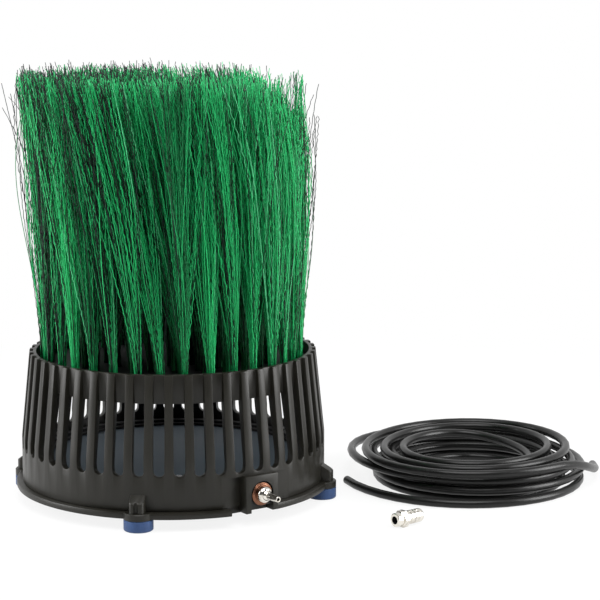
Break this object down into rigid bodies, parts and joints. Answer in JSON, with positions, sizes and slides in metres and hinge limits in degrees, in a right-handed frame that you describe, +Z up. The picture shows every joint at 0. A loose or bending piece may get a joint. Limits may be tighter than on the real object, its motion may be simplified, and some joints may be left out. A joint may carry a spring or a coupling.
{
  "type": "pond air diffuser with brush and hose",
  "caption": "Round slotted pond aerator on rubber feet with a tall crimped bristle brush, an air membrane and a hose barb, beside its coil of air hose and a non-return valve.",
  "frame": {"origin": "on the basket's vertical axis, at the floor that the feet stand on", "axes": "+Z up along the basket's axis; the air inlet and its hose barb point along -Y; +X to the right of the inlet as seen from outside"},
  "size_m": [0.3963, 0.3017, 0.2982],
  "materials": {
    "black_plastic": "satin moulded",
    "dark_plastic": "matte moulded",
    "blue_rubber": "matte",
    "grey_rubber": "matte",
    "green_nylon": "crimped filament",
    "black_nylon": "crimped filament",
    "hose_rubber": "smooth satin",
    "nickel": "polished nickel",
    "copper": "satin copper",
    "steel": "satin"
  },
  "bodies": {
    "root": {"air_hose_coil": "hose_rubber", "air_membrane": "grey_rubber", "ballast_plate": "steel", "base_tray": "black_plastic", "basket_housing": "black_plastic", "brush_core": "green_nylon", "brush_middle_ring": "black_nylon", "brush_outer_ring": "green_nylon", "brush_plate": "dark_plastic", "brush_screw_front_left": "steel", "brush_screw_front_right": "steel", "brush_screw_rear_left": "steel", "brush_screw_rear_right": "steel", "clamp_ring": "dark_plastic", "clamp_screw_1": "steel", "clamp_screw_2": "steel", "clamp_screw_3": "steel", "clamp_screw_4": "steel", "clamp_screw_5": "steel", "clamp_screw_6": "steel", "diffuser_body": "dark_plastic", "foot_front_left": "blue_rubber", "foot_front_right": "blue_rubber", "foot_rear_left": "blue_rubber", "foot_rear_right": "blue_rubber", "foot_screw_front_left": "steel", "foot_screw_front_right": "steel", "foot_screw_rear_left": "steel", "foot_screw_rear_right": "steel", "inlet_nozzle": "nickel", "inlet_nut": "nickel", "inlet_washer": "copper", "membrane_seal": "grey_rubber", "valve_body": "nickel", "valve_end": "nickel", "valve_seal": "grey_rubber", "valve_spring": "steel"},
    "poppet": {"valve_poppet": "steel"}
  },
  "joints": [
    {"name": "poppet_slide", "type": "slide", "parent": "root", "child": "poppet", "axis": [0.9966, 0.0819, 0], "range_m": [0, 0.0012], "stiffness_N_per_m": 60, "deforming": ["valve_spring"]}
  ]
}
